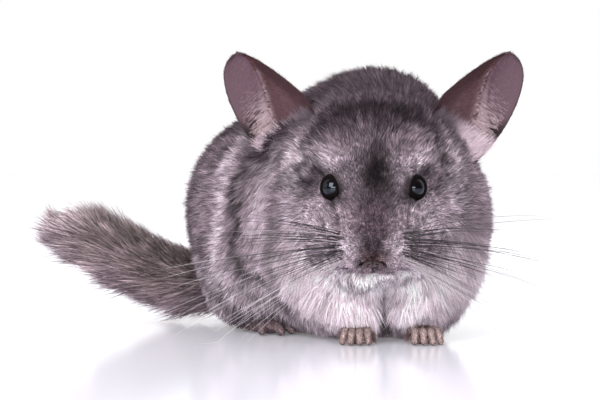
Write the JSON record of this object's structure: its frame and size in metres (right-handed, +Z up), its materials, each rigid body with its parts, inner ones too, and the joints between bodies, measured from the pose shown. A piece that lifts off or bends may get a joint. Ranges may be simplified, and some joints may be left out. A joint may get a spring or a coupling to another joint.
{
  "type": "chinchilla",
  "caption": "Life-size standing model of a grey chinchilla with large upright ears, long whiskers and a bushy tail swept to one side.",
  "frame": {"origin": "on the floor, under the middle of the animal's box", "axes": "+Z up, -Y the way the animal looks, +X to the animal's left, which is the viewer's right"},
  "size_m": [0.2366, 0.1942, 0.1344],
  "materials": {
    "fur": "dense soft grey fur with dark roots and silver tips",
    "tail_fur": "long coarse tail hair, dark with pale tips",
    "ear_skin": "thin mauve-brown ear skin with a fine down",
    "paw_skin": "pinkish skin under short pale hair",
    "eye": "wet glossy black",
    "nose": "soft brown nose skin with short down"
  },
  "bodies": {
    "root": {"head": "fur", "neck": "fur", "trunk": "fur", "foreleg_left": "fur", "foreleg_right": "fur", "hindleg_left": "fur", "hindleg_right": "fur", "tail_base": "tail_fur", "tail_middle": "tail_fur", "tail_tip": "tail_fur", "ear_left": "ear_skin", "ear_right": "ear_skin", "eye_left": "eye", "eye_right": "eye", "nose": "nose", "forepaw_left": "paw_skin", "forepaw_right": "paw_skin", "hindfoot_left": "paw_skin", "hindfoot_right": "paw_skin"}
  },
  "joints": []
}
